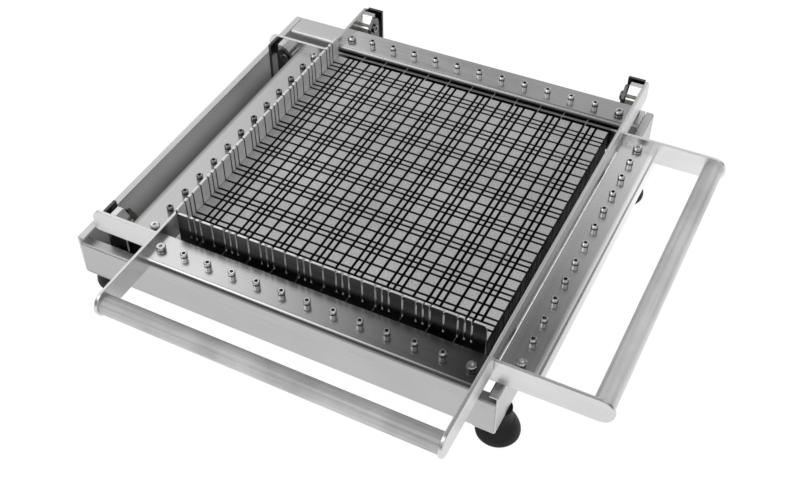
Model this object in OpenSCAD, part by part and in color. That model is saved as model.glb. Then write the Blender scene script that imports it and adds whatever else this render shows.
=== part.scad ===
// Chocolate cutter with two wire frames that cross at right angles over a slotted table.
// The upper frame hinges at the back, the lower frame hinges at the left.
// Sizes are in millimetres. Inside the modules the table's centre on its top is zero.

/* [Table] */
// Number of slotted bars that make up the table
table_bars = 8; // [4:2:12]
// Distance from one table bar to the next
bar_pitch = 45; // [36:1:60]
// Height of the table bars
bar_height = 35; // [32:1:45]
// Width of the slots that the wires drop into
slot_w = 2; // [1:0.1:2.5]
// Depth of the slots below the table's top
slot_depth = 26; // [25:0.5:28]
// Thickness of the plate under the table bars
bed_t = 6; // [4:0.5:9]

/* [Fences] */
// Thickness of the two slotted fences
fence_t = 3; // [2:0.5:4]
// Height of the left fence above the table
left_fence_rise = 28; // [15:1:40]
// Height of the front fence above the table
front_fence_rise = 25; // [15:1:40]
// Width of the slits in the fences
slit_w = 2; // [1.5:0.1:3]
// Radius of the rounded mouth of each slit
slit_mouth_r = 1.6; // [0.8:0.1:2]
// Radius of the outer top corners of the fences
fence_corner_r = 9; // [4:1:12]

/* [Cutting frames] */
// Height of the side rails
rail_h = 30; // [26:1:36]
// Thickness of the side rails
rail_t = 4; // [3:0.5:5]
// Gap from the table's edge to the inner face of a rail
rail_gap = 11; // [9:0.5:16]
// Reach of the rails past the table on the handle side
handle_reach = 137; // [120:1:170]
// Reach of the upper rails past the table behind their hinge
upper_tail_reach = 109; // [105:0.5:112]
// Reach of the lower rails past the table behind their hinge
lower_tail_reach = 113.5; // [108:0.5:118]
// Diameter of the handle tubes
handle_d = 25; // [18:1:28]
// Depth of the upper rails' centre line below the table's top
upper_mid_depth = 5; // [4:0.5:6]
// Depth of the lower rails' centre line below the table's top
lower_mid_depth = 20; // [19:0.5:21]
// Width of the folded bars that hold the tension screws
tension_bar_w = 42; // [36:1:46]
// Sheet thickness of the tension bars
tension_bar_t = 3; // [2:0.5:4]
// Height of the folded lip of the tension bars
tension_bar_h = 20; // [14:1:20]
// Outer radius of the fold
fold_r = 5.5; // [4.5:0.5:8]
// Depth of the tension bars' top below the top of the rails
bar_sink = 9.5; // [6:0.5:10]

/* [Wires and screws] */
// Diameter of the cutting wires
wire_d = 0.6; // [0.4:0.1:1]
// Depth of the upper wires below the table's top
upper_wire_depth = 4; // [3.8:0.1:4.2]
// Depth of the lower wires below the table's top
lower_wire_depth = 21.5; // [21:0.1:23]
// Distance from the table's edge to the rows of tension screws
screw_reach = 37; // [35:0.5:39]
// Diameter of the tension screws' heads
screw_head_d = 8; // [6:0.5:10]
// Height of the tension screws' heads
screw_head_h = 8.4; // [5:0.2:10]
// Diameter of the tension screws' shanks
screw_d = 5; // [4:0.5:6]

/* [Hinges] */
// Distance from the table's edge to the upper frame's hinge axis
upper_pivot_reach = 82; // [80:1:84]
// Distance from the table's edge to the lower frame's hinge axis
lower_pivot_reach = 77; // [76:1:79]
// Diameter of the pivot bolts
pivot_d = 8; // [6:0.5:9]
// Width of the hinge blocks on the rails
hinge_block_w = 15; // [13:0.5:17]
// Thickness of the hinge brackets
bracket_t = 4; // [3:0.5:5]

/* [Base] */
// Thickness of the folded base members
sheet_t = 2; // [1.5:0.1:2.5]
// Depth of the base's underside below the table's top
base_drop = 99; // [96:1:110]
// Reach of the base past the table on the left
base_left_reach = 131.5; // [130:0.5:140]
// Reach of the base past the table on the right
base_right_reach = 27.5; // [27:0.5:36]
// Reach of the base past the table at the front
base_front_reach = 29; // [28.5:0.5:36]
// Reach of the base past the table at the back
base_back_reach = 111; // [110:0.5:120]
// Height of the side channels
channel_h = 57.5; // [54:0.5:58]
// Height of the front member
front_member_h = 44; // [36:1:45]
// Depth of the front member's flanges
front_flange = 13; // [10:1:13]
// Depth of the rear member's top
rear_member_w = 34; // [30:1:36]

/* [Feet] */
// Height of the rubber feet
foot_h = 43; // [30:1:55]
// Largest diameter of the rubber feet
foot_d = 49; // [36:1:50]
// Diameter of the studs in the feet
stud_d = 8; // [6:0.5:9]

/* [Hidden] */
$fn = 48;

// Overrun of every cut
over = 1;
// Small gap between pieces that don't quite touch
ease = 0.3;
// Running clearance of the hinge pins
pin_ease = 0.05;

// The table
table_size = table_bars * bar_pitch;
half = table_size / 2;
slot_place_shares = [1/3, 1/2, 2/3];
wire_step_share = 2/3;
wire_pitch = bar_pitch * wire_step_share;
wire_count = table_size / wire_pitch - 1;
slot_places = [for (i = [0 : table_bars - 1])
    each concat(i == 0 ? [] : [i * bar_pitch], [for (s = slot_place_shares) (i + s) * bar_pitch])];
wire_places = [for (i = [1 : wire_count]) i * wire_pitch - half];

// Colours
steel = [0.78, 0.78, 0.8];
dark_steel = [0.45, 0.45, 0.47];
satin = [0.7, 0.71, 0.72];
bright = [0.86, 0.86, 0.88];
bronze = [0.66, 0.5, 0.3];
black_rubber = [0.08, 0.08, 0.08];

// Each frame is drawn with its handle towards the front and its hinge at the back.
// The lower frame is then turned a quarter turn, so its handle is at the right.
upper = 0;
lower = 1;
function mid_z(f) = f == upper ? -upper_mid_depth : -lower_mid_depth;
function wire_z(f) = f == upper ? -upper_wire_depth : -lower_wire_depth;
function pivot_y(f) = half + (f == upper ? upper_pivot_reach : lower_pivot_reach);
// Gaps from the table's edge to the near bar's inner edge and to the far bar's lip
upper_near_gap = 15.4;
lower_near_gap = 17;
upper_far_gap = 18;
lower_far_gap = 22.5;
function near_edge(f) = half + (f == upper ? upper_near_gap : lower_near_gap);
function far_face(f) = half + (f == upper ? upper_far_gap : lower_far_gap);
rail_in = half + rail_gap;
rail_out = rail_in + rail_t;
handle_end = half + handle_reach;
screw_y = half + screw_reach;
lower_rail_top = mid_z(lower) + rail_h / 2;
function bar_top(f) = mid_z(f) + rail_h / 2 - bar_sink;

// The frames' small sizes
handle_wall = 2;
tail_top_r = 13;
tail_bottom_r = 5;
notch_front_ease = 1;
notch_back_ease = 2.6;
notch_top_ease = 0.4;
lip_hole_d = 2.4;
shank_hole_d = screw_d + ease;
shank_past_wire = 2.5;
wire_past_screw = 4.5;
head_chamfer = 0.8;
socket_across = 4;
socket_depth = 4;
block_w = 22;
block_d = 17;
block_h = 12;
bolt_d = 6;
bolt_head_d = 11;
bolt_head_h = 6;
bolt_reach = 11;
bolt_socket_across = 4;
bolt_socket_depth = 2.5;

// The hinges' small sizes, measured from the pivot
hinge_gap = 1;
hinge_block_rise = 13.5;
hinge_block_drop = 12;
hinge_block_back = 13;
hinge_block_nose = 7.2;
hinge_slope_foot = 0.8;
hinge_slope_top = 5.5;
bush_wall = 2;
pin_end_gap = 1;
upper_cheek_r = 14;
lower_cheek_r = 12.2;
function cheek_r(f) = f == upper ? upper_cheek_r : lower_cheek_r;
cheek_front = 10;
cheek_slope_foot = 2;
cheek_slope_top = 3.5;
cheek_slope_rise = 14.5;
wall_back = 20;
wall_rise = 13.5;
wall_past_cheek = 1.5;
bracket_foot_w = 22;
bracket_side_gap = 0.5;
lower_foot_plate_front = 7;
pivot_head_d = 12;
pivot_head_h = 3;
pivot_socket_across = 5;
pivot_socket_depth = 2;
washer_d = 16;

// The base's small sizes
channel_bend_r = 3;
top_flange = 10;
left_bottom_flange = 62;
right_bottom_flange = 25;
member_bend_r = 6;
rear_lip_h = 29;
rear_foot_flange = 14;
table_rail_w = 40;
table_rail_h = 24;
table_rail_reach = 110;
post_d = 20;
post_reach = 120;
post_bolt_d = 6;
post_bolt_head_d = 10;
post_bolt_head_h = 4;
bar_screw_reach = 150;
bar_screw_d = 5;
bar_screw_head_d = 9;
bar_screw_head_h = 3;
bar_screw_bite = 8;
fence_screw_d = 4;
fence_screw_head_d = 7;
fence_screw_head_h = 2.5;
fence_screw_bite = 9;
slit_floor_gap = 1.5;
button_d = 9;
button_reach = 135;
foot_in = 9.5;
foot_in_y = 36;
foot_in_back = 48;
foot_neck_d = 27;
foot_waist_share = 0.42;
foot_sole_r = 9;
foot_top_r = 4;
nut_across = 13;
nut_h = 6.5;
stud_past_nut = 3;
stud_in_foot = 24;

// Heights and outer faces of the base
base_z = -base_drop;
channel_top = base_z + channel_h;
floor_z = base_z + sheet_t;
base_left = -half - base_left_reach;
base_right = half + base_right_reach;
base_front = -half - base_front_reach;
base_back = half + base_back_reach;
ground_z = base_z - foot_h;
front_top = floor_z + front_member_h;
table_rail_z = floor_z + sheet_t;
post_z = table_rail_z + table_rail_h;
bed_z = -bar_height - bed_t;

// The origin lies on the ground under the middle of the machine's outline
left_edge = min(base_left, base_left + foot_in - foot_d / 2);
right_edge = max(handle_end, base_right - foot_in + foot_d / 2);
origin_x = (left_edge + right_edge) / 2;
origin_y = (base_back - handle_end) / 2;
module in_frame() {
    translate([-origin_x, -origin_y, -ground_z]) children();
}

// Turns a frame's own view into its place on the machine
module place_frame(f) {
    rotate([0, 0, f == upper ? 0 : 90]) children();
}

// Extrudes an outline drawn with Y across and Z up along X, from x
module along_x(x, length) {
    translate([x, 0, 0]) rotate([90, 0, 90]) linear_extrude(length) children();
}

// Extrudes an outline drawn with X across and Z up along Y, from y
module along_y(y, length) {
    translate([0, y + length, 0]) rotate([90, 0, 0]) linear_extrude(length) children();
}

// Copies its children to the left and the right of a frame
module both_sides() {
    children();
    mirror([1, 0, 0]) children();
}

// A cylinder that lies along X, from x
module rod_x(x, length, d) {
    translate([x, 0, 0]) rotate([0, 90, 0]) cylinder(d = d, h = length);
}

// A cylinder that lies along Y, from y
module rod_y(y, length, d) {
    translate([0, y, 0]) rotate([-90, 0, 0]) cylinder(d = d, h = length);
}

// Base

// A quarter ring where sheet of thickness t is folded to radius r, to the upper left of its centre
module fold(r, t) {
    intersection() {
        difference() {
            circle(r = r);
            circle(r = r - t);
        }
        translate([-r, 0]) square(r);
    }
}

// A channel of folded sheet seen from its end, its web at x zero and its flanges to the right
module channel_outline(h, head, foot) {
    r = channel_bend_r;
    translate([0, r]) square([sheet_t, h - 2 * r]);
    translate([r, 0]) square([foot - r, sheet_t]);
    translate([r, h - sheet_t]) square([head - r, sheet_t]);
    translate([r, h - r]) fold(r, sheet_t);
    translate([r, r]) mirror([0, 1]) fold(r, sheet_t);
}

module stud_holes(x) {
    for (y = [base_front + foot_in_y, base_back - foot_in_back])
        translate([x, y, base_z - over]) cylinder(d = stud_d + ease, h = sheet_t + 2 * over);
}

module base_left_channel() {
    color(steel) difference() {
        along_y(base_front, base_back - base_front)
            translate([base_left, base_z]) channel_outline(channel_h, top_flange, left_bottom_flange);
        stud_holes(base_left + foot_in);
        place_frame(lower) both_sides() bracket_bolt_places(lower)
            translate([0, 0, base_z - over]) cylinder(d = bolt_d + ease, h = sheet_t + 2 * over);
    }
}

module base_right_channel() {
    color(steel) difference() {
        along_y(base_front, base_back - base_front)
            translate([base_right, base_z]) mirror([1, 0])
                channel_outline(channel_h, top_flange, right_bottom_flange);
        stud_holes(base_right - foot_in);
    }
}

member_left = base_left + sheet_t;
member_right = base_right - sheet_t;

// The member's ends are relieved where the side channels are folded
module base_front_member() {
    relief = channel_bend_r - sheet_t;
    color(steel) difference() {
        along_x(member_left, member_right - member_left) translate([base_front, floor_z])
            channel_outline(front_member_h, front_flange, front_flange);
        for (x = [member_left - over, member_right - relief])
            translate([x, base_front - over, floor_z - over])
                cube([relief + over, front_flange + 2 * over, relief + over]);
    }
}

rear_left = base_left + top_flange + over;
rear_right = base_right - top_flange - over;

// The rear member's top runs into its front lip with a rounded fold
module rear_member_outline() {
    height = channel_top - floor_z;
    translate([-sheet_t, 0]) square([sheet_t, height]);
    translate([-rear_foot_flange, 0]) square([rear_foot_flange, sheet_t]);
    translate([-rear_member_w + member_bend_r, height - sheet_t])
        square([rear_member_w - member_bend_r, sheet_t]);
    translate([-rear_member_w, height - rear_lip_h]) square([sheet_t, rear_lip_h - member_bend_r]);
    translate([-rear_member_w + member_bend_r, height - member_bend_r]) fold(member_bend_r, sheet_t);
}

module base_rear_member() {
    color(steel) difference() {
        along_x(rear_left, rear_right - rear_left)
            translate([base_back, floor_z]) rear_member_outline();
        both_sides() bracket_bolt_places(upper)
            translate([0, 0, channel_top - sheet_t - over])
                cylinder(d = bolt_d + ease, h = sheet_t + 2 * over);
    }
}

// A square tube that runs from the front member to the rear member under the table
module table_rail(side) {
    length = base_back - base_front - 2 * sheet_t;
    color(steel) difference() {
        along_y(base_front + sheet_t, length)
            translate([side * table_rail_reach - table_rail_w / 2, table_rail_z]) difference() {
                square([table_rail_w, table_rail_h]);
                translate([sheet_t, sheet_t])
                    square([table_rail_w - 2 * sheet_t, table_rail_h - 2 * sheet_t]);
            }
        for (y = [-post_reach, post_reach])
            translate([side * table_rail_reach, y, table_rail_z - over])
                cylinder(d = post_bolt_d + ease, h = table_rail_h + 2 * over);
    }
}

module table_left_rail() {
    table_rail(-1);
}

module table_right_rail() {
    table_rail(1);
}

module post_places() {
    for (x = [-table_rail_reach, table_rail_reach], y = [-post_reach, post_reach])
        translate([x, y, 0]) children();
}

module table_posts() {
    color(steel) post_places() translate([0, 0, post_z]) difference() {
        cylinder(d = post_d, h = bed_z - post_z);
        translate([0, 0, -over]) cylinder(d = post_bolt_d + ease, h = bed_z - post_z + 2 * over);
    }
}

module table_post_bolts() {
    color(dark_steel) post_places() {
        translate([0, 0, table_rail_z - post_bolt_head_h])
            cylinder(d = post_bolt_head_d, h = post_bolt_head_h);
        translate([0, 0, table_rail_z])
            cylinder(d = post_bolt_d, h = bed_z + bed_t - table_rail_z - ease);
    }
}

// Table

// Each table bar is held from below by two screws
module bar_screw_places() {
    for (x = [-bar_screw_reach, bar_screw_reach], i = [0 : table_bars - 1])
        translate([x, (i + 1/2) * bar_pitch - half, 0]) children();
}

module table_bed_plate() {
    color(steel) difference() {
        translate([-half, -half, bed_z]) cube([table_size, table_size, bed_t]);
        post_places() translate([0, 0, bed_z - over])
            cylinder(d = post_bolt_d + ease, h = bed_t + 2 * over);
        bar_screw_places() translate([0, 0, bed_z - over])
            cylinder(d = bar_screw_d + ease, h = bed_t + 2 * over);
    }
}

// A block of slotted outline, with its slots open at the top
module slotted_outline(length, places) {
    difference() {
        translate([0, -bar_height]) square([length, bar_height]);
        for (p = places) translate([p - slot_w / 2, -slot_depth]) square([slot_w, slot_depth + over]);
    }
}

// One bar runs from left to right. Its own slots and the slots across it leave rows of blocks.
// The gap between two bars is a slot as well.
module table_bar(first, last) {
    low = first ? 0 : slot_w / 2;
    high = bar_pitch - (last ? 0 : slot_w / 2);
    difference() {
        intersection() {
            along_x(-half, table_size) translate([low, 0])
                slotted_outline(high - low, [for (s = slot_place_shares) s * bar_pitch - low]);
            translate([-half, 0, 0]) along_y(low, high - low) slotted_outline(table_size, slot_places);
        }
        for (x = [-bar_screw_reach, bar_screw_reach]) translate([x, bar_pitch / 2, -bar_height - over])
            cylinder(d = bar_screw_d + ease, h = bar_screw_bite + over);
        translate([0, bar_pitch / 2, fence_screw_z])
            rod_x(-half - over, fence_screw_bite + over, fence_screw_d + ease);
    }
}

module table_bars() {
    color(satin) difference() {
        for (i = [0 : table_bars - 1])
            translate([0, i * bar_pitch - half, 0]) table_bar(i == 0, i == table_bars - 1);
        fence_screw_places() rod_y(-half - over, fence_screw_bite + over, fence_screw_d + ease);
    }
}

module table_bar_screws() {
    color(dark_steel) bar_screw_places() {
        translate([0, 0, bed_z - bar_screw_head_h])
            cylinder(d = bar_screw_head_d, h = bar_screw_head_h);
        translate([0, 0, bed_z]) cylinder(d = bar_screw_d, h = bed_t + bar_screw_bite - ease);
    }
}

// Fences

// Points on the rounded mouth of a slit, from its wall up to the fence's top edge
mouth_steps = 4;
function mouth_arc(centre_x, top, from, to) = [for (i = [0 : mouth_steps])
    let (a = from + (to - from) * i / mouth_steps)
    [centre_x + slit_mouth_r * cos(a), top - slit_mouth_r + slit_mouth_r * sin(a)]];

// One slit seen from the front, from its left mouth to its right mouth
function slit_points(x, top, floor) = concat(
    mouth_arc(x - slit_w / 2 - slit_mouth_r, top, 90, 0),
    [[x - slit_w / 2, floor], [x + slit_w / 2, floor]],
    mouth_arc(x + slit_w / 2 + slit_mouth_r, top, 180, 90));

module fence_outline(rise, floor) {
    intersection() {
        polygon(concat(
            [[-half, bed_z], [-half, rise]],
            [for (p = slot_places) each slit_points(p - half, rise, floor)],
            [[half, rise], [half, bed_z]]));
        union() {
            translate([-half, bed_z]) square([table_size, rise - bed_z - fence_corner_r]);
            translate([-half + fence_corner_r, bed_z])
                square([table_size - 2 * fence_corner_r, rise - bed_z]);
            for (x = [-half + fence_corner_r, half - fence_corner_r])
                translate([x, rise - fence_corner_r]) circle(r = fence_corner_r);
        }
    }
}

// The screws' places along a fence, one to each table bar and below the slots
fence_screw_z = -bar_height + fence_screw_head_d / 2;
module fence_screw_places() {
    for (i = [0 : table_bars - 1]) translate([(i + 1/2) * bar_pitch - half, 0, fence_screw_z]) children();
}

module fence(rise, floor) {
    difference() {
        along_y(-half - fence_t, fence_t) fence_outline(rise, floor);
        fence_screw_places() rod_y(-half - fence_t - over, fence_t + 2 * over, fence_screw_d + ease);
    }
}

module front_fence() {
    color(satin) fence(front_fence_rise, -upper_wire_depth - slit_floor_gap);
}

module left_fence() {
    color(satin) rotate([0, 0, -90]) fence(left_fence_rise, -lower_wire_depth - slit_floor_gap);
}

module fence_screws() {
    color(dark_steel) for (turn = [0, -90]) rotate([0, 0, turn]) fence_screw_places() {
        rod_y(-half - fence_t - fence_screw_head_h, fence_screw_head_h, fence_screw_head_d);
        rod_y(-half - fence_t, fence_t + fence_screw_bite - ease, fence_screw_d);
    }
}

// The closed lower frame rests on two buttons that stand on the right channel
module frame_rest_buttons() {
    height = bar_top(lower) - tension_bar_t - ease - channel_top;
    color(black_rubber) for (y = [-button_reach, button_reach])
        translate([base_right - top_flange / 2, y, channel_top]) cylinder(d = button_d, h = height);
}

// Feet

// Half of the bell-shaped foot's outline, from its flat sole to its neck
module foot_outline() {
    sole = foot_d / 2 - foot_sole_r / 2;
    waist = foot_h * foot_waist_share;
    neck = foot_neck_d / 2;
    square([sole, foot_sole_r]);
    translate([sole - foot_sole_r / 2, foot_sole_r]) circle(r = foot_sole_r);
    polygon([[0, foot_sole_r], [foot_d / 2, foot_sole_r], [foot_d / 2 - sheet_t, waist],
        [neck + foot_top_r, foot_h - foot_top_r], [neck, foot_h], [0, foot_h]]);
}

module foot(x, y) {
    color(black_rubber) translate([x, y, ground_z]) difference() {
        rotate_extrude() intersection() {
            foot_outline();
            square([foot_d / 2, foot_h]);
        }
        translate([0, 0, foot_h - stud_in_foot]) cylinder(d = stud_d + ease, h = stud_in_foot + over);
    }
}

foot_left = base_left + foot_in;
foot_right = base_right - foot_in;
foot_front = base_front + foot_in_y;
foot_back = base_back - foot_in_back;

module front_left_foot() {
    foot(foot_left, foot_front);
}

module front_right_foot() {
    foot(foot_right, foot_front);
}

module back_left_foot() {
    foot(foot_left, foot_back);
}

module back_right_foot() {
    foot(foot_right, foot_back);
}

module foot_places() {
    for (x = [foot_left, foot_right], y = [foot_front, foot_back]) translate([x, y, 0]) children();
}

module foot_studs() {
    bottom = base_z - stud_in_foot + ease;
    color(bright) foot_places() translate([0, 0, bottom])
        cylinder(d = stud_d, h = floor_z + nut_h + stud_past_nut - bottom);
}

module foot_nuts() {
    color(bright) foot_places() translate([0, 0, floor_z]) difference() {
        rotate([0, 0, 30]) cylinder(d = nut_across / cos(30), h = nut_h, $fn = 6);
        translate([0, 0, -over]) cylinder(d = stud_d + ease, h = nut_h + 2 * over);
    }
}

// Hinges

cheek_out = rail_in - hinge_block_w - hinge_gap;
cheek_in = cheek_out - bracket_t;
bracket_out = rail_in - bracket_side_gap;
function bracket_z(f) = f == upper ? channel_top : floor_z;

// The bracket's foot plate lies on the member that carries it
function foot_plate_front(f) =
    f == upper ? base_back - rear_member_w + member_bend_r : pivot_y(f) - lower_foot_plate_front;
function foot_plate_back(f) = pivot_y(f) + wall_back + bracket_t;

module bracket_bolt_places(f) {
    translate([cheek_in - bracket_foot_w / 2, (foot_plate_front(f) + foot_plate_back(f)) / 2, 0])
        children();
}

// A cheek seen from the side, with the pivot at zero. It is round above and behind the pivot,
// slanted in front like the hinge block, and its foot is drop below.
module cheek_outline(f, drop) {
    r = cheek_r(f);
    intersection() {
        union() {
            circle(r = r);
            translate([-r, -drop]) square([2 * r, drop]);
        }
        polygon([[-cheek_front, -drop], [-cheek_front, cheek_slope_foot],
            [cheek_slope_top, cheek_slope_rise], [r, cheek_slope_rise], [r, -drop]]);
    }
}

// The cheek and the wall behind it stand on one foot plate
module hinge_bracket(f) {
    z = bracket_z(f);
    pivot_z = mid_z(f);
    difference() {
        union() {
            along_x(cheek_in, bracket_t) translate([pivot_y(f), pivot_z]) cheek_outline(f, pivot_z - z);
            translate([cheek_in - wall_past_cheek, pivot_y(f) + wall_back, z])
                cube([bracket_out - cheek_in + wall_past_cheek, bracket_t, pivot_z + wall_rise - z]);
            translate([cheek_in - bracket_foot_w, foot_plate_front(f), z])
                cube([bracket_foot_w + bracket_t, foot_plate_back(f) - foot_plate_front(f), bracket_t]);
        }
        translate([0, pivot_y(f), pivot_z])
            rod_x(cheek_in - over, bracket_t + 2 * over, pivot_d + 2 * pin_ease);
        bracket_bolt_places(f) translate([0, 0, z - over])
            cylinder(d = bolt_d + ease, h = bracket_t + 2 * over);
    }
}

module upper_hinge_brackets() {
    color(steel) both_sides() hinge_bracket(upper);
}

module lower_hinge_brackets() {
    color(steel) place_frame(lower) both_sides() hinge_bracket(lower);
}

module bracket_bolt(f) {
    z = bracket_z(f);
    bracket_bolt_places(f) {
        translate([0, 0, z + bracket_t]) cylinder(d = bolt_head_d, h = bolt_head_h);
        translate([0, 0, z - sheet_t]) cylinder(d = bolt_d, h = bracket_t + sheet_t);
    }
}

module bracket_bolts() {
    color(bright) for (f = [upper, lower]) place_frame(f) both_sides() bracket_bolt(f);
}

// The bolt's head bears on the cheek, and its shank carries the hinge block
module pivot_bolts(f) {
    color(bright) place_frame(f) both_sides() translate([0, pivot_y(f), mid_z(f)]) {
        translate([cheek_in, 0, 0]) rotate([0, -90, 0])
            cap_head(pivot_head_d, pivot_head_h, pivot_socket_across, pivot_socket_depth);
        rod_x(cheek_in, rail_in - pin_end_gap - cheek_in, pivot_d);
    }
}

module upper_pivot_bolts() {
    pivot_bolts(upper);
}

module lower_pivot_bolts() {
    pivot_bolts(lower);
}

module hinge_washers() {
    color(bronze) for (f = [upper, lower]) place_frame(f) both_sides()
        translate([0, pivot_y(f), mid_z(f)]) difference() {
            rod_x(cheek_out, hinge_gap - ease, washer_d);
            rod_x(cheek_out - over, hinge_gap + 2 * over, pivot_d + 2 * pin_ease);
        }
}

// Cutting frames

// A side rail is round at the handle and has two rounded corners at the hinge
module rail_outline(f) {
    tail = half + (f == upper ? upper_tail_reach : lower_tail_reach);
    h = rail_h / 2;
    translate([h - handle_end, 0]) circle(r = h);
    translate([h - handle_end, -h]) square([handle_end - h + tail - tail_top_r, rail_h]);
    translate([0, tail_bottom_r - h]) square([tail, rail_h - tail_bottom_r - tail_top_r]);
    translate([0, -h]) square([tail - tail_bottom_r, tail_bottom_r]);
    translate([tail - tail_top_r, h - tail_top_r]) circle(r = tail_top_r);
    translate([tail - tail_bottom_r, tail_bottom_r - h]) circle(r = tail_bottom_r);
}

// The upper rails are notched from below where they cross the lower rails
module crossing_notches() {
    top = lower_rail_top - mid_z(upper) + notch_top_ease;
    for (y = [-rail_out, rail_in])
        translate([y - notch_front_ease, -rail_h])
            square([rail_t + notch_front_ease + notch_back_ease, rail_h + top]);
}

module side_rail(f) {
    color(steel) translate([0, 0, mid_z(f)]) along_x(rail_in, rail_t) difference() {
        rail_outline(f);
        if (f == upper) crossing_notches();
    }
}

module handle(f) {
    length = 2 * rail_in;
    color(bright) place_frame(f) translate([0, rail_h / 2 - handle_end, mid_z(f)]) difference() {
        rod_x(-rail_in, length, handle_d);
        rod_x(-rail_in - over, length + 2 * over, handle_d - 2 * handle_wall);
    }
}

// A tension bar seen from the side, with its lip at y zero and its top at z zero
module bar_outline() {
    translate([fold_r, -tension_bar_t]) square([tension_bar_w - fold_r, tension_bar_t]);
    translate([0, -tension_bar_h]) square([tension_bar_t, tension_bar_h - fold_r]);
    translate([fold_r, -fold_r]) fold(fold_r, tension_bar_t);
}

// Places of the bolts at the two ends of a bar, and of the screws between them
corner_places = [-half, half];

// side is -1 for the bar near the handle and 1 for the bar near the hinge
module tension_bar(f, side) {
    lip = side < 0 ? -near_edge(f) - tension_bar_w : far_face(f);
    top = bar_top(f);
    color(steel) place_frame(f) difference() {
        along_x(-rail_in, 2 * rail_in) translate([lip, top]) bar_outline();
        for (x = wire_places) translate([x, side * screw_y, top - tension_bar_t - over])
            cylinder(d = shank_hole_d, h = tension_bar_t + 2 * over);
        for (x = corner_places) translate([x, side * screw_y, top - tension_bar_t - over])
            cylinder(d = bolt_d + ease, h = tension_bar_t + 2 * over);
        if (side > 0) for (x = wire_places) translate([x, 0, wire_z(f)])
            rod_y(lip - over, fold_r + 2 * over, lip_hole_d);
    }
}

// Blocks welded to the rails carry the ends of the bars
module bar_blocks(f) {
    color(steel) place_frame(f) both_sides() for (side = [-1, 1])
        translate([half, side * screw_y, bar_top(f) - tension_bar_t - block_h]) difference() {
            translate([rail_in - half - block_w, -block_d / 2, 0]) cube([block_w, block_d, block_h]);
            cylinder(d = bolt_d + ease, h = block_h + over);
        }
}

// A screw with a domed or straight head, a hexagon socket and a shank that ends at bottom
module cap_head(d, h, across, depth) {
    difference() {
        union() {
            cylinder(d = d, h = h - head_chamfer);
            translate([0, 0, h - head_chamfer])
                cylinder(d1 = d, d2 = d - 2 * head_chamfer, h = head_chamfer);
        }
        translate([0, 0, h - depth]) cylinder(d = across / cos(30), h = depth + over, $fn = 6);
    }
}

module corner_bolts(f) {
    color(bright) place_frame(f) for (side = [-1, 1], x = corner_places)
        translate([x, side * screw_y, bar_top(f)]) {
            cap_head(bolt_head_d, bolt_head_h, bolt_socket_across, bolt_socket_depth);
            translate([0, 0, -bolt_reach]) cylinder(d = bolt_d, h = bolt_reach);
        }
}

// Each screw has a cross hole that its wire passes through
module tension_screws(f, side) {
    drop = bar_top(f) - wire_z(f) + shank_past_wire;
    color(bright) place_frame(f) for (x = wire_places) translate([x, side * screw_y, bar_top(f)])
        difference() {
            union() {
                cap_head(screw_head_d, screw_head_h, socket_across, socket_depth);
                translate([0, 0, -drop]) cylinder(d = screw_d, h = drop);
            }
            translate([0, 0, wire_z(f) - bar_top(f)]) rod_y(-screw_d, 2 * screw_d, wire_d + 2 * ease);
        }
}

module wires(f) {
    reach = screw_y + wire_past_screw;
    color(bright) place_frame(f) for (x = wire_places) translate([x, 0, wire_z(f)])
        rod_y(-reach, 2 * reach, wire_d);
}

// A hinge block seen from the side, with the pivot at zero
module hinge_block_outline() {
    polygon([[-hinge_block_nose, -hinge_block_drop], [hinge_block_back, -hinge_block_drop],
        [hinge_block_back, hinge_block_rise], [hinge_slope_top, hinge_block_rise],
        [-hinge_block_nose, hinge_slope_foot]]);
}

module hinge_blocks(f) {
    bore = pivot_d + 2 * bush_wall;
    color(bright) place_frame(f) both_sides() translate([0, pivot_y(f), mid_z(f)]) difference() {
        along_x(rail_in - hinge_block_w, hinge_block_w) hinge_block_outline();
        rod_x(rail_in - hinge_block_w - over, hinge_block_w + 2 * over, bore);
    }
}

module hinge_bushes(f) {
    color(bronze) place_frame(f) both_sides() translate([0, pivot_y(f), mid_z(f)]) difference() {
        rod_x(rail_in - hinge_block_w, hinge_block_w, pivot_d + 2 * bush_wall);
        rod_x(rail_in - hinge_block_w - over, hinge_block_w + 2 * over, pivot_d + 2 * pin_ease);
    }
}

module upper_left_rail() {
    mirror([1, 0, 0]) side_rail(upper);
}

module upper_right_rail() {
    side_rail(upper);
}

module lower_front_rail() {
    place_frame(lower) mirror([1, 0, 0]) side_rail(lower);
}

module lower_back_rail() {
    place_frame(lower) side_rail(lower);
}

in_frame() base_left_channel();
in_frame() base_right_channel();
in_frame() base_front_member();
in_frame() base_rear_member();
in_frame() table_left_rail();
in_frame() table_right_rail();
in_frame() table_posts();
in_frame() table_post_bolts();
in_frame() table_bed_plate();
in_frame() table_bars();
in_frame() table_bar_screws();
in_frame() left_fence();
in_frame() front_fence();
in_frame() fence_screws();
in_frame() frame_rest_buttons();
in_frame() upper_hinge_brackets();
in_frame() lower_hinge_brackets();
in_frame() bracket_bolts();
in_frame() upper_pivot_bolts();
in_frame() lower_pivot_bolts();
in_frame() hinge_washers();
in_frame() front_left_foot();
in_frame() front_right_foot();
in_frame() back_left_foot();
in_frame() back_right_foot();
in_frame() foot_studs();
in_frame() foot_nuts();
in_frame() upper_left_rail();
in_frame() upper_right_rail();
in_frame() handle(upper);  // upper_handle
in_frame() tension_bar(upper, -1);  // upper_front_bar
in_frame() tension_bar(upper, 1);  // upper_back_bar
in_frame() bar_blocks(upper);  // upper_bar_blocks
in_frame() corner_bolts(upper);  // upper_corner_bolts
in_frame() tension_screws(upper, -1);  // upper_front_screws
in_frame() tension_screws(upper, 1);  // upper_back_screws
in_frame() wires(upper);  // upper_wires
in_frame() hinge_blocks(upper);  // upper_hinge_blocks
in_frame() hinge_bushes(upper);  // upper_hinge_bushes
in_frame() lower_front_rail();
in_frame() lower_back_rail();
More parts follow.
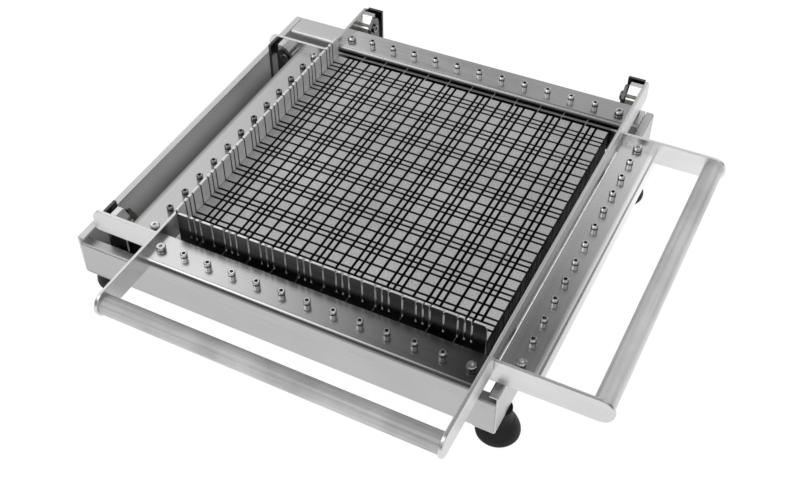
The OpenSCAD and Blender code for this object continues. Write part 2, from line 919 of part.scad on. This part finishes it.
in_frame() handle(lower);  // lower_handle
in_frame() tension_bar(lower, -1);  // lower_right_bar
in_frame() tension_bar(lower, 1);  // lower_left_bar
in_frame() bar_blocks(lower);  // lower_bar_blocks
in_frame() corner_bolts(lower);  // lower_corner_bolts
in_frame() tension_screws(lower, -1);  // lower_right_screws
in_frame() tension_screws(lower, 1);  // lower_left_screws
in_frame() wires(lower);  // lower_wires
in_frame() hinge_blocks(lower);  // lower_hinge_blocks
in_frame() hinge_bushes(lower);  // lower_hinge_bushes
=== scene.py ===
"""The looks of a chocolate cutter: two wire frames that close over a slotted table."""
import math

import bpy
from mathutils import Matrix, Vector


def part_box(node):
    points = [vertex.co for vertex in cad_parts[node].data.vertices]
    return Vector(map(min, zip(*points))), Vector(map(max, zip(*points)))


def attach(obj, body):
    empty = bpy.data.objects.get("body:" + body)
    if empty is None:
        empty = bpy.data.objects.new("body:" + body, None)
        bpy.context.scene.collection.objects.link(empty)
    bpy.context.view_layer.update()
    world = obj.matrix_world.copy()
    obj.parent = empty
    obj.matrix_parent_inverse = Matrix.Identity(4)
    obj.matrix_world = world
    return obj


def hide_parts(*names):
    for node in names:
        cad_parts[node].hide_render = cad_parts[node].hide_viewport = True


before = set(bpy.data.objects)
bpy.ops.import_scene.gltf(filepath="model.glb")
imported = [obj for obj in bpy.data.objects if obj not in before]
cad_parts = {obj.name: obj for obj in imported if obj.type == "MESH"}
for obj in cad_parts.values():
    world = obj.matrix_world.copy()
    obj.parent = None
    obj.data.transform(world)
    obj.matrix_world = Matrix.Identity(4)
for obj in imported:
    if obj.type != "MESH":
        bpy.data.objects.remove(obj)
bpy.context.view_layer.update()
scene = bpy.context.scene


# Side channels and cross members of the base, and the two square tubes under the table.
# Folded steel sheet with a fine grain along each member and edges broken with a file.
# The members stand between the channels, and the tubes run from the front one to the rear one.
class Shade:
    """A value on its way through a material, so that shader maths reads as plain sums."""

    def __init__(self, tree, socket):
        self.tree = tree
        self.socket = socket

    def math(self, operation, other, clamp=False):
        node = self.tree.nodes.new("ShaderNodeMath")
        node.operation = operation
        node.use_clamp = clamp
        self.tree.links.new(self.socket, node.inputs[0])
        feed(self.tree, other, node.inputs[1])
        return Shade(self.tree, node.outputs[0])

    def __add__(self, other):
        return self.math("ADD", other)

    def __sub__(self, other):
        return self.math("SUBTRACT", other)

    def __mul__(self, other):
        return self.math("MULTIPLY", other)

    def __rsub__(self, other):
        return self.math("MULTIPLY", -1.0).math("ADD", other)

    __radd__ = __add__
    __rmul__ = __mul__

    def rise(self, width):
        """A share that is 0 where the value is below zero, and 1 where it is above the width."""
        return self.math("DIVIDE", width, clamp=True)

    def between(self, first, last):
        """Turns a share into a value: first where the share is 0, and last where it is 1."""
        return first + self * (last - first)


def feed(tree, value, socket):
    """Links a shade to a socket, or sets the socket to a plain value."""
    if isinstance(value, Shade):
        tree.links.new(value.socket, socket)
    else:
        socket.default_value = value


class Nodes:
    """The nodes of a material or of the world."""

    def __init__(self, tree):
        self.tree = tree

    def node(self, kind, output=0, settings=None, stops=(), **sockets):
        """Adds a node with its settings, then fills its sockets, by name or as i0, i1, i2."""
        made = self.tree.nodes.new(kind)
        for key, value in (settings or {}).items():
            setattr(made, key, value)
        for place, (position, colour) in enumerate(stops):
            made.color_ramp.elements[place].position = position
            made.color_ramp.elements[place].color = colour
        for socket, value in sockets.items():
            place = int(socket[1:]) if socket[1:].isdigit() else socket.replace("_", " ")
            feed(self.tree, value, made.inputs[place])
        return Shade(self.tree, made.outputs[output])


class Finish(Nodes):
    """A material with one principled shader, and the nodes that feed it."""

    def __init__(self, name, **constants):
        self.material = bpy.data.materials.new(name)
        self.material.use_nodes = True
        super().__init__(self.material.node_tree)
        self.shader = self.tree.nodes["Principled BSDF"]
        self.place = self.node("ShaderNodeTexCoord", output="Object")
        self.set(**constants)

    def at(self, axis):
        """Position along X, Y or Z in the machine's frame."""
        return self.node("ShaderNodeSeparateXYZ", output=axis, i0=self.place)

    def noise(self, place, size, detail, rough=0.5):
        return self.node("ShaderNodeTexNoise", Vector=place, Scale=size, Detail=detail, Roughness=rough)

    def set(self, **sockets):
        """Fills sockets of the principled shader."""
        for socket, value in sockets.items():
            feed(self.tree, value, self.shader.inputs[socket.replace("_", " ")])


def grey(value):
    return (value, value, value, 1.0)


def drawn(axis, share=0.02):
    """Scale of a grain that is drawn out along one axis, or packed closer by a share above 1."""
    return [share if letter == axis else 1.0 for letter in "XYZ"]


def grained_metal(name, dark, light, rough, grain, stretch=(1.0, 1.0, 1.0), metal=1.0, shade=None):
    """Metal with a directional grain, soft blotches and a little unevenness in its gloss."""
    hair_share = 0.45
    hair_depth = 0.00002
    hair_roughness, blotch_roughness = 0.16, 0.12
    finish = Finish(name, Metallic=metal)
    along = finish.node("ShaderNodeMapping", Vector=finish.place, Scale=stretch)
    hair = finish.noise(along, size=grain, detail=3.0, rough=0.6)
    blotch = finish.noise(finish.place, size=14.0, detail=4.0, rough=0.55)
    tone = hair * hair_share + blotch * (1.0 - hair_share)
    colour = finish.node("ShaderNodeValToRGB", Fac=tone, stops=[(0.3, dark), (0.7, light)])
    if shade:
        colour = finish.node(
            "ShaderNodeVectorMath", settings={"operation": "SCALE"}, i0=colour, Scale=shade(finish))
    gloss = rough + (hair - 0.5) * hair_roughness + (blotch - 0.5) * blotch_roughness
    bump = finish.node("ShaderNodeBump", Height=hair, Distance=hair_depth, Strength=0.5)
    finish.set(Base_Color=colour, Roughness=gloss, Normal=bump)
    return finish.material


def copy_of(solid, name):
    """A copy of a solid under its own name, picked, and without its packed normals."""
    piece = bpy.data.objects.new(name, solid.data.copy())
    scene.collection.objects.link(piece)
    bpy.ops.object.select_all(action="DESELECT")
    piece.select_set(True)
    bpy.context.view_layer.objects.active = piece
    bpy.ops.mesh.customdata_custom_splitnormals_clear()
    return piece


def weld():
    """Joins the loose triangles of the picked copy, and makes each flat face one again."""
    same_point = 0.00001
    bpy.ops.object.mode_set(mode="EDIT")
    bpy.ops.mesh.select_all(action="SELECT")
    bpy.ops.mesh.remove_doubles(threshold=same_point)
    bpy.ops.mesh.dissolve_limited(angle_limit=math.radians(0.5))
    bpy.ops.object.mode_set(mode="OBJECT")


def pick_points(piece, wanted):
    """Picks the points that are wanted, and leaves the piece in edit mode."""
    bpy.ops.object.mode_set(mode="EDIT")
    bpy.ops.mesh.select_all(action="DESELECT")
    bpy.ops.object.mode_set(mode="OBJECT")
    for point in piece.data.vertices:
        point.select = wanted(point.co)
    bpy.ops.object.mode_set(mode="EDIT")


def mount(piece, node, body, material):
    """Gives a piece its finish and its body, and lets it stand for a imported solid."""
    piece.data.materials.clear()
    piece.data.materials.append(material)
    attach(piece, body)
    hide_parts(node)


def deburred(node, body, width, material):
    """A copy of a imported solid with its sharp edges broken, which stands for it."""
    piece = copy_of(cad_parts[node], node + "_deburred")
    weld()
    edge = piece.modifiers.new("broken_edge", "BEVEL")
    edge.width = width
    edge.segments = 2
    edge.limit_method = "ANGLE"
    edge.angle_limit = math.radians(40)
    edge.use_clamp_overlap = True
    bpy.ops.object.modifier_apply(modifier=edge.name)
    bpy.ops.object.shade_smooth_by_angle(angle=math.radians(50))
    flats = piece.modifiers.new("flat_faces", "WEIGHTED_NORMAL")
    flats.mode = "FACE_AREA"
    flats.keep_sharp = True
    bpy.ops.object.modifier_apply(modifier=flats.name)
    mount(piece, node, body, material)
    return piece


def deep_shade(finish):
    """Painted shade low down inside the left channel, where little light falls, and painted light
    higher up and outside it.
    """
    web, web_fade = 0.001, 0.001
    flange, flange_fade = 0.0035, 0.0005
    dark_height, height_fade = 0.006, 0.026
    low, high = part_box("base_left_channel")
    height = finish.at("Z")
    inside = ((finish.at("X") - low.x - web).rise(web_fade)
              * (high.z - flange - height).rise(flange_fade))
    depth_tone = (height - low.z - dark_height).rise(height_fade).between(0.72, 1.67)
    return inside.between(1.1, depth_tone)


sheet_edge = 0.0006
tube_edge = 0.001
lower_fold = 0.012
# One steel sheet in several tones: the lighter, less metallic inside of the left channel, the lighter
# rear member and the darker front member are painted light and shade.
channel_finish = grained_metal(
    "base_sheet_along", grey(0.6), grey(0.72), rough=0.42, grain=300.0, stretch=drawn("Y"))
inner_channel_finish = grained_metal(
    "base_sheet_inside", grey(0.68), grey(0.8), rough=0.45, grain=300.0, stretch=drawn("Y"),
    metal=0.15, shade=deep_shade)
member_finish = grained_metal(
    "base_sheet_across", grey(0.48), grey(0.58), rough=0.42, grain=300.0, stretch=drawn("X"))
rear_finish = grained_metal(
    "base_sheet_rear", grey(0.72), grey(0.82), rough=0.42, grain=300.0, stretch=drawn("X"))
deburred("base_left_channel", "base", sheet_edge, inner_channel_finish)
deburred("base_right_channel", "base", sheet_edge, channel_finish)
front_member = deburred("base_front_member", "base", sheet_edge, member_finish)

# The front member's lower fold comes down to the underside of the side channels.
member_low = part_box("base_front_member")[0].z
channel_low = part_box("base_right_channel")[0].z
pick_points(front_member, lambda place: place.z < member_low + lower_fold)
bpy.ops.transform.translate(value=(0.0, 0.0, channel_low - member_low))
bpy.ops.object.mode_set(mode="OBJECT")
deburred("base_rear_member", "base", sheet_edge, rear_finish)
for name in ("table_left_rail", "table_right_rail"):
    deburred(name, "base", tube_edge, channel_finish)


# Posts and bolts that carry the table on the two square tubes, and the screws of its bars.
# Turned steel, a little duller than the frames, with its grain in rings round each post.
def dress(node, material):
    """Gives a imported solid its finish."""
    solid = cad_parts[node]
    solid.data.materials.clear()
    solid.data.materials.append(material)


turned_finish = grained_metal(
    "turned_steel", grey(0.42), grey(0.55), rough=0.34, grain=220.0, stretch=drawn("Z", 8.0))
for name in ("table_posts", "table_post_bolts", "table_bar_screws"):
    dress(name, turned_finish)

# Rubber feet on zinc-plated studs, and the two buttons that the closed lower frame rests on.
# Moulded black rubber, matt with a faint bloom, screwed up against the channels.
foot_facets = 64
sole_radius = 0.0210

# Each step of the profile is a radius and its height above the sole.
foot_profile = (
    (0.0228, 0.001), (0.0240, 0.003), (0.0243, 0.0055), (0.0238, 0.009), (0.0227, 0.0125),
    (0.0211, 0.0165), (0.0192, 0.020), (0.0172, 0.0235), (0.0154, 0.0265), (0.0143, 0.0295),
    (0.0137, 0.033), (0.0135, 0.0425), (0.0130, 0.043), (0.0042, 0.043), (0.0042, 0.020))


def sole_centre(node):
    """The middle of a foot's sole."""
    low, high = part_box(node)
    return Vector(((low.x + high.x) / 2, (low.y + high.y) / 2, low.z))


def moulded_foot(node):
    """A bell-shaped foot turned from the profile, sole first, that ends in the hole for its stud."""
    centre = sole_centre(node)
    bpy.ops.object.select_all(action="DESELECT")
    bpy.ops.mesh.primitive_circle_add(
        vertices=foot_facets, radius=sole_radius, fill_type="NGON", location=centre)
    piece = bpy.context.object
    piece.name = node + "_moulded"
    bpy.ops.object.transform_apply(location=True, rotation=True, scale=True)
    bpy.ops.object.mode_set(mode="EDIT")
    bpy.ops.mesh.select_all(action="SELECT")
    radius, height = sole_radius, 0.0
    for next_radius, next_height in foot_profile:
        bpy.ops.mesh.extrude_region_move(
            TRANSFORM_OT_translate={"value": (0.0, 0.0, next_height - height)})
        share = next_radius / radius
        bpy.ops.transform.resize(
            value=(share, share, 1.0), center_override=centre + Vector((0.0, 0.0, next_height)))
        radius, height = next_radius, next_height
    bpy.ops.mesh.select_all(action="SELECT")
    bpy.ops.mesh.normals_make_consistent(inside=False)
    bpy.ops.object.mode_set(mode="OBJECT")
    bpy.ops.object.shade_smooth_by_angle(angle=math.radians(40))
    return piece


rubber = Finish("foot_rubber", Metallic=0.0, Specular_IOR_Level=0.25)
pebble = rubber.noise(rubber.place, size=900.0, detail=2.0)
bloom = rubber.noise(rubber.place, size=30.0, detail=3.0)
rubber_tone = rubber.node(
    "ShaderNodeValToRGB", Fac=bloom, stops=[(0.35, grey(0.012)), (0.75, grey(0.03))])
rubber_bump = rubber.node("ShaderNodeBump", Height=pebble, Distance=0.0001, Strength=0.4)
rubber.set(Base_Color=rubber_tone, Roughness=0.5 + bloom * 0.15, Normal=rubber_bump)
first_foot = moulded_foot("front_left_foot")
mount(first_foot, "front_left_foot", "base", rubber.material)
for name in ("front_right_foot", "back_left_foot", "back_right_foot"):
    next_foot = copy_of(first_foot, name + "_moulded")
    bpy.ops.object.mode_set(mode="EDIT")
    bpy.ops.mesh.select_all(action="SELECT")
    bpy.ops.transform.translate(value=sole_centre(name) - sole_centre("front_left_foot"))
    bpy.ops.object.mode_set(mode="OBJECT")
    mount(next_foot, name, "base", rubber.material)
dress("frame_rest_buttons", rubber.material)
zinc_finish = grained_metal("zinc_plate", grey(0.5), grey(0.68), rough=0.3, grain=120.0)
for name in ("foot_studs", "foot_nuts", "bracket_bolts", "fence_screws"):
    dress(name, zinc_finish)


# Table of slotted bars on its bed plate, each bar held by screws from below.
# Milled aluminium with a satin top and chamfered blocks, with painted shade down in the slots.
def even_grey(nodes, level):
    """A grey from one level."""
    return nodes.node("ShaderNodeCombineColor", Red=level, Green=level, Blue=level)


block_chamfer = 0.0006
slot_shadow = 0.0003
top_tolerance = 0.00001
table_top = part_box("table_bars")[1].z
table = Finish("milled_aluminium", Metallic=0.75)
swirl = table.noise(table.place, size=500.0, detail=2.0)
cloud = table.noise(table.place, size=9.0, detail=3.0)
# Painted shade: the blocks darken below their top face, down in the slots.
painted_slot_shade = (table_top - table.at("Z")).rise(slot_shadow)
mill_tone_and_slot_shade = (0.61 + (swirl - 0.5) * 0.5 + (cloud - 0.5) * 0.3) * painted_slot_shade.between(1.0, 0.06)
mill_bump = table.node("ShaderNodeBump", Height=swirl, Distance=0.00002, Strength=0.4)
table.set(
    Base_Color=even_grey(table, mill_tone_and_slot_shade), Roughness=0.5 + (cloud - 0.5) * 0.1, Normal=mill_bump)
dress("table_bed_plate", table.material)
blocks = copy_of(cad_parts["table_bars"], "table_bars_chamfered")
weld()
bpy.ops.object.mode_set(mode="EDIT")
bpy.ops.mesh.select_mode(type="EDGE")
bpy.ops.mesh.select_all(action="DESELECT")
bpy.ops.object.mode_set(mode="OBJECT")
corners = blocks.data.vertices
for edge in blocks.data.edges:
    edge.select = all(corners[place].co.z > table_top - top_tolerance for place in edge.vertices)
bpy.ops.object.mode_set(mode="EDIT")
bpy.ops.mesh.bevel(offset=block_chamfer, segments=1, affect="EDGES")
bpy.ops.mesh.select_mode(type="VERT")
bpy.ops.object.mode_set(mode="OBJECT")
bpy.ops.object.shade_flat()
mount(blocks, "table_bars", "base", table.material)


# Comb fences screwed to the front and left edges of the table.
# Thin stainless sheet, laser cut and rounded at the mouths of the slits.
def slit_shade(finish):
    """Painted shade inside the left fence's slits, and plain on its faces and along its top edge."""
    skin = 0.0003
    rim, rim_fade = 0.0008, 0.001
    low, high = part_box("left_fence")
    x = finish.at("X")
    inside = (x - low.x).rise(skin) * (high.x - x).rise(skin)
    below_rim = (high.z - rim - finish.at("Z")).rise(rim_fade)
    return (inside * below_rim).between(1.0, 0.05)


def outer_shade(finish):
    """A painted dark reflection on the front fence's outer face, and painted light on the walls of its
    slits.
    """
    skin = 0.0006
    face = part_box("front_fence")[0].y
    dark_face_mottle = finish.noise(finish.place, size=40.0, detail=3.0)
    return 0.06 + dark_face_mottle * 0.06 + (finish.at("Y") - face).rise(skin) * 1.1


def tight_corners(node, along, material):
    """A fence that runs along X or Y, axis 0 or 1, with each rounded top corner tightened."""
    corner_reach = 0.0091
    low_end_share, high_end_share = 0.25, 0.4
    piece = copy_of(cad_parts[node], node + "_corners")
    low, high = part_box(node)
    for end, share in ((low, low_end_share), (high, high_end_share)):
        pick_points(piece, lambda place: (
            abs(place[along] - end[along]) < corner_reach and high.z - place.z < corner_reach))
        scale = [share, share, share]
        scale[1 - along] = 1.0
        centre = Vector((low.x, low.y, high.z))
        centre[along] = end[along]
        bpy.ops.transform.resize(value=scale, center_override=centre)
        bpy.ops.object.mode_set(mode="OBJECT")
    mount(piece, node, "base", material)


# One sheet in two tones: the left fence's lighter tone is painted light.
left_fence_finish = grained_metal(
    "left_fence_sheet", grey(0.88), grey(1.0), rough=0.45, grain=260.0, stretch=drawn("Z", 0.05),
    metal=0.35, shade=slit_shade)
front_fence_finish = grained_metal(
    "front_fence_sheet", grey(0.66), grey(0.8), rough=0.34, grain=260.0, stretch=drawn("Z", 0.05),
    shade=outer_shade)
tight_corners("left_fence", along=1, material=left_fence_finish)
tight_corners("front_fence", along=0, material=front_fence_finish)


# Side rails of the two frames, the upper pair notched from below where the lower pair crosses.
# Thick stainless flat bar with a long grain and broken edges.
def rail_steel(name, stretch, shade=None):
    return grained_metal(
        name, grey(0.66), grey(0.78), rough=0.3, grain=300.0, stretch=stretch, shade=shade)


def tuck_shade(finish):
    """Dark where the lower back rail lies in the shade of the upper frame's back bar."""
    fade = 0.012
    low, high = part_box("upper_back_bar")
    x = finish.at("X")
    return ((x - low.x).rise(fade) * (high.x - x).rise(fade)).between(1.15, 0.3)


rail_edge = 0.0006
rail_finish = rail_steel("rail_steel_along", drawn("Y"))
cross_rail_finish = rail_steel("rail_steel_across", drawn("X"))
tucked_rail_finish = rail_steel("rail_steel_shaded", drawn("X"), shade=tuck_shade)
for name in ("upper_left_rail", "upper_right_rail"):
    deburred(name, "upper_frame", rail_edge, rail_finish)
deburred("lower_front_rail", "lower_frame", rail_edge, cross_rail_finish)
deburred("lower_back_rail", "lower_frame", rail_edge, tucked_rail_finish)


# Handles between the rails' ends, a little slimmer here than their packed tubes.
# Satin stainless tube with drawn streaks along it, and painted light towards its lower and outer side.
def tube_shade(node, axis, sideways, upwards, first, last):
    """Painted light and shade that run across a tube, in the direction that the two shares give."""
    band_share = 0.3
    low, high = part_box(node)
    middle = (low + high) / 2
    band = (high.z - low.z) * band_share

    def shade(finish):
        across = ((finish.at(axis) - middle["XYZ".index(axis)]) * sideways
                  + (finish.at("Z") - middle.z) * upwards)
        return (across + band / 2).rise(band).between(first, last)
    return shade


def slimmer(node, body, share, shift, material):
    """A tube drawn thinner around its own axis and set nearer the ends of its rails."""
    low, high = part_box(node)
    piece = copy_of(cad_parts[node], node + "_slim")
    bpy.ops.object.mode_set(mode="EDIT")
    bpy.ops.mesh.select_all(action="SELECT")
    bpy.ops.transform.resize(value=share, center_override=(low + high) / 2)
    bpy.ops.transform.translate(value=shift)
    bpy.ops.object.mode_set(mode="OBJECT")
    bpy.ops.object.shade_smooth_by_angle(angle=math.radians(40))
    mount(piece, node, body, material)


slim = 0.89
upper_shift = (0.0, -0.0014, -0.0014)
lower_shift = (0.0013, 0.0, -0.0005)
# One tube in two tones: the lower frame's lighter copy is painted light.
handle_finish = grained_metal(
    "tube_across", grey(0.26), grey(0.7), rough=0.5, grain=300.0, stretch=drawn("X", 0.015),
    metal=0.4,
    shade=tube_shade("upper_handle", "Y", sideways=0.7, upwards=0.7, first=1.45, last=0.95))
cross_handle_finish = grained_metal(
    "tube_along", grey(0.55), grey(0.9), rough=0.5, grain=260.0, stretch=drawn("Y"),
    metal=0.5,
    shade=tube_shade("lower_handle", "X", sideways=1.0, upwards=-0.3, first=0.9, last=1.3))
slimmer("upper_handle", "upper_frame", (1.0, slim, slim), upper_shift, handle_finish)
slimmer("lower_handle", "lower_frame", (slim, 1.0, slim), lower_shift, cross_handle_finish)


# Folded bars that hold the tension screws, and the blocks welded to the rails below their ends.
# Stainless sheet with a mirror-like fold along one edge, bolted down at its corners.
def run_shade(axis, start, end, first, last):
    """Painted light and shade that run from first to last between two places on an axis."""
    def shade(finish):
        return (finish.at(axis) - start).rise(end - start).between(first, last)
    return shade


def fold_shade(finish, node):
    """Painted shade on the rounded fold along a bar's front edge, which dims the lights that it
    mirrors.
    """
    fold_width, side_fade = 0.003, 0.001
    fold_height, lower_fade = 0.008, 0.003
    low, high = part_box(node)
    near = (low.y + fold_width - finish.at("Y")).rise(side_fade)
    upper = (finish.at("Z") - high.z + fold_height).rise(lower_fade)
    return (near * upper).between(1.0, 0.4)


def front_bar_shade(finish):
    """The front bar: painted light at its left end and a painted dark reflection at its right end
    beside the fence, held even along its lip.
    """
    lip_depth, lip_fade = 0.001, 0.002
    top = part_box("upper_front_bar")[1].z
    lip = (top - lip_depth - finish.at("Z")).rise(lip_fade)
    along = run_shade("X", start=-0.12, end=0.21, first=1.15, last=0.08)(finish)
    return lip.between(along, 0.8) * fold_shade(finish, "upper_front_bar")


def back_bar_shade(finish):
    """The back bar: painted light at its left end, and painted shade on its lip, which faces the table.
    """
    lip_depth, lip_fade = 0.0045, 0.0015
    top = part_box("upper_back_bar")[1].z
    lip = (top - lip_depth - finish.at("Z")).rise(lip_fade)
    along = run_shade("X", start=-0.15, end=0.2, first=1.35, last=0.75)(finish)
    return along * lip.between(1.0, 0.3) * fold_shade(finish, "upper_back_bar")


def right_bar_shade(finish):
    """The right bar: painted shade at its front end and painted light towards its back, with a painted
    highlight along its outer fold.
    """
    fold_width, fold_fade = 0.008, 0.0015
    outer_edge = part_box("lower_right_bar")[1].x
    fold = (finish.at("X") - (outer_edge - fold_width)).rise(fold_fade)
    along = run_shade("Y", start=-0.12, end=0.2, first=0.55, last=1.25)(finish)
    return along + fold * 0.4


def left_bar_shade(finish):
    """The left bar: painted shade on its outer fold."""
    fold_width = 0.006
    outer_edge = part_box("lower_left_bar")[0].x
    return run_shade("X", start=outer_edge, end=outer_edge + fold_width, first=0.4, last=1.0)(finish)


# The four bars are one sheet in four tones, lit and shaded copies, with painted light and shade from
# their shade functions.
bar_edge = 0.0004
front_bar_finish = grained_metal(
    "bar_sheet_across", grey(0.56), grey(0.66), rough=0.25, grain=240.0, stretch=drawn("X", 0.03),
    shade=front_bar_shade)
back_bar_finish = grained_metal(
    "bar_sheet_shaded", grey(0.5), grey(0.62), rough=0.27, grain=240.0, stretch=drawn("X", 0.03),
    shade=back_bar_shade)
right_bar_finish = grained_metal(
    "bar_sheet_right", grey(0.6), grey(0.72), rough=0.27, grain=240.0, stretch=drawn("Y", 0.03),
    shade=right_bar_shade)
left_bar_finish = grained_metal(
    "bar_sheet_left", grey(0.5), grey(0.6), rough=0.3, grain=240.0, stretch=drawn("Y", 0.03),
    shade=left_bar_shade)
bar_block_finish = grained_metal("bar_block_steel", grey(0.5), grey(0.6), rough=0.3, grain=160.0)
deburred("upper_front_bar", "upper_frame", bar_edge, front_bar_finish)
deburred("upper_back_bar", "upper_frame", bar_edge, back_bar_finish)
deburred("lower_right_bar", "lower_frame", bar_edge, right_bar_finish)
deburred("lower_left_bar", "lower_frame", bar_edge, left_bar_finish)
dress("upper_bar_blocks", bar_block_finish)
dress("lower_bar_blocks", bar_block_finish)


# Tension screws with the wires through them, and the bolts at the bars' corners.
# Bright stainless screws with hexagon sockets, a painted shade ring for a turned waist, and polished
# spring wire.
def waist_shade(top):
    """A painted shade ring around the heads of a row of screws, where a turned waist would be, below
    their bright rims.
    """
    ring_top, ring_foot, ring_fade = 0.0028, 0.0052, 0.0004

    def shade(finish):
        depth = top - finish.at("Z")
        ring = (depth - ring_top).rise(ring_fade) * (ring_foot - depth).rise(ring_fade)
        return ring.between(1.0, 0.1)
    return shade


# The lower left screws get a darker copy of the same steel: painted shade.
for name, dark, light in (("upper_front_screws", 0.4, 1.0), ("upper_back_screws", 0.4, 1.0),
                          ("lower_right_screws", 0.4, 1.0), ("lower_left_screws", 0.08, 0.45),
                          ("upper_corner_bolts", 0.1, 1.0), ("lower_corner_bolts", 0.1, 1.0)):
    dress(name, grained_metal(
        name + "_steel", grey(dark), grey(light), rough=0.1, grain=260.0,
        shade=waist_shade(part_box(name)[1].z)))
wire_finish = grained_metal("wire_steel", grey(0.6), grey(0.85), rough=0.16, grain=60.0)
dress("upper_wires", wire_finish)
dress("lower_wires", wire_finish)

# Hinges: brackets bolted to the base, blocks on the rails, and bushes and washers between.
# Laser-cut plate folded to an angle, steel blocks and dull bronze, with a bolt through each cheek.
plate_edge = 0.0005
# The brackets' steel plate gets a near-black tone: painted shade, as they sit in shadow under the
# rails.
bracket_finish = grained_metal(
    "bracket_plate", grey(0.07), grey(0.14), rough=0.3, grain=180.0, stretch=drawn("Z", 0.06))
for name in ("upper_hinge_brackets", "lower_hinge_brackets"):
    deburred(name, "base", plate_edge, bracket_finish)
block_finish = grained_metal("hinge_block_steel", grey(0.6), grey(0.8), rough=0.3, grain=120.0)
deburred("upper_hinge_blocks", "upper_frame", plate_edge, block_finish)
deburred("lower_hinge_blocks", "lower_frame", plate_edge, block_finish)
pivot_finish = grained_metal("pivot_steel", grey(0.1), grey(0.3), rough=0.24, grain=160.0)
for name in ("upper_pivot_bolts", "lower_pivot_bolts"):
    dress(name, pivot_finish)
# The bronze is kept dark: painted shade, as the hinges sit in shadow.
dark_bronze = (0.17, 0.155, 0.135, 1.0)
light_bronze = (0.27, 0.25, 0.22, 1.0)
bronze_finish = grained_metal("bearing_bronze", dark_bronze, light_bronze, rough=0.4, grain=160.0)
for name in ("hinge_washers", "upper_hinge_bushes", "lower_hinge_bushes"):
    dress(name, bronze_finish)

# Floor: a plain white sweep that keeps only the faint shadow of the machine.
# A painted shadow darkens it under the base, a little further in for the camera than for reflections.
floor_width = 12.0
bpy.ops.object.select_all(action="DESELECT")
bpy.ops.mesh.primitive_plane_add(size=floor_width, location=(0.0, 0.0, 0.0))
floor = bpy.context.object
floor.name = "floor"
paper = Finish("white_paper", Roughness=0.9, Specular_IOR_Level=0.0)
camera_ray = paper.node("ShaderNodeLightPath", output="Is Camera Ray")
glossy_ray = paper.node("ShaderNodeLightPath", output="Is Glossy Ray")
base_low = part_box("base_left_channel")[0]
base_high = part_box("base_right_channel")[1]


def under(axis, low, high, low_inset, high_inset=0.06):
    """1 on the floor between low and high, falling to 0 at both, which the insets move inwards."""
    fade = 0.03
    place = paper.at(axis)
    return ((place - low - camera_ray * low_inset).rise(fade)
            * (high - place - camera_ray * high_inset).rise(fade))


shadow = (under("X", base_low.x, base_high.x, low_inset=0.01)
          * under("Y", base_low.y, base_high.y, low_inset=0.06))
paper_tone = even_grey(paper, shadow.between(0.9, 0.16))
paper.set(Base_Color=paper_tone)
paper_glow = paper.node("ShaderNodeEmission", Color=paper_tone, Strength=1.2)
paper_mix = paper.node(
    "ShaderNodeMixShader", i0=camera_ray * 0.9 + glossy_ray * 0.85,
    i1=Shade(paper.tree, paper.shader.outputs[0]), i2=paper_glow)
feed(paper.tree, paper_mix, paper.tree.nodes["Material Output"].inputs["Surface"])
floor.data.materials.append(paper.material)

# World: a grey studio with four soft round lights, which the metal mirrors.
# The camera sees plain white in its place.
world = bpy.data.worlds.new("studio")
scene.world = world
world.use_nodes = True
studio = Nodes(world.node_tree)
heading = studio.node("ShaderNodeTexCoord", output="Generated")


def glow(azimuth, elevation, inner, outer, strength):
    """Brightness of a round soft light, full within inner degrees and gone beyond outer degrees."""
    turn, lift = math.radians(azimuth), math.radians(elevation)
    centre = (math.cos(lift) * math.cos(turn), math.cos(lift) * math.sin(turn), math.sin(lift))
    nearness = studio.node(
        "ShaderNodeVectorMath", output="Value", settings={"operation": "DOT_PRODUCT"},
        i0=heading, i1=centre)
    return studio.node(
        "ShaderNodeMapRange", settings={"interpolation_type": "SMOOTHSTEP"}, Value=nearness,
        From_Min=math.cos(math.radians(outer)), From_Max=math.cos(math.radians(inner)),
        To_Max=strength)


left_light = glow(azimuth=150, elevation=35, inner=19, outer=30, strength=0.95)
back_light = glow(azimuth=80, elevation=28, inner=16, outer=31, strength=0.75)
front_light = glow(azimuth=-60, elevation=50, inner=10, outer=60, strength=0.4)
low_front_light = glow(azimuth=-50, elevation=12, inner=20, outer=55, strength=0.15)
room_level = left_light + back_light + front_light + low_front_light + 0.2
room = studio.node("ShaderNodeBackground", Color=even_grey(studio, room_level))
white = studio.tree.nodes["Background"]
white.inputs["Color"].default_value = grey(1.0)
seen_world = studio.node(
    "ShaderNodeMixShader", i0=studio.node("ShaderNodeLightPath", output="Is Camera Ray"),
    i1=room, i2=Shade(studio.tree, white.outputs[0]))
feed(studio.tree, seen_world, studio.tree.nodes["World Output"].inputs["Surface"])

# Lamp: one big softbox above the front left corner.
# It is weak, and draws the machine's faint shadow.
lamp = bpy.data.lights.new("softbox", "AREA")
lamp.size = 1.6
lamp.energy = 14.0
holder = bpy.data.objects.new("softbox", lamp)
holder.location = (-0.9, -1.0, 2.2)
machine_middle = Vector((0.0, 0.0, 0.1))
aim = machine_middle - holder.location
holder.rotation_euler = aim.to_track_quat("-Z", "Y").to_euler()
scene.collection.objects.link(holder)

# Camera: a short telephoto from the front right, placed and rolled as the photograph was taken.
# Its place and its lens were fitted to the corners of the table in the photograph.
camera_data = bpy.data.cameras.new("camera")
camera = bpy.data.objects.new("camera", camera_data)
scene.collection.objects.link(camera)
scene.camera = camera
camera_data.sensor_width = 36.0
camera_data.lens = 49.769
camera_data.shift_x = 0.07819
camera_data.clip_start = 0.01
camera.matrix_world = Matrix((
    (0.877003, -0.312607, 0.364888, 0.421509),
    (0.478878, 0.630740, -0.610608, -0.835621),
    (-0.039269, 0.710242, 0.702862, 0.968790),
    (0.0, 0.0, 0.0, 1.0),
))

# Colours come out as they are written.
scene.view_settings.view_transform = "Standard"
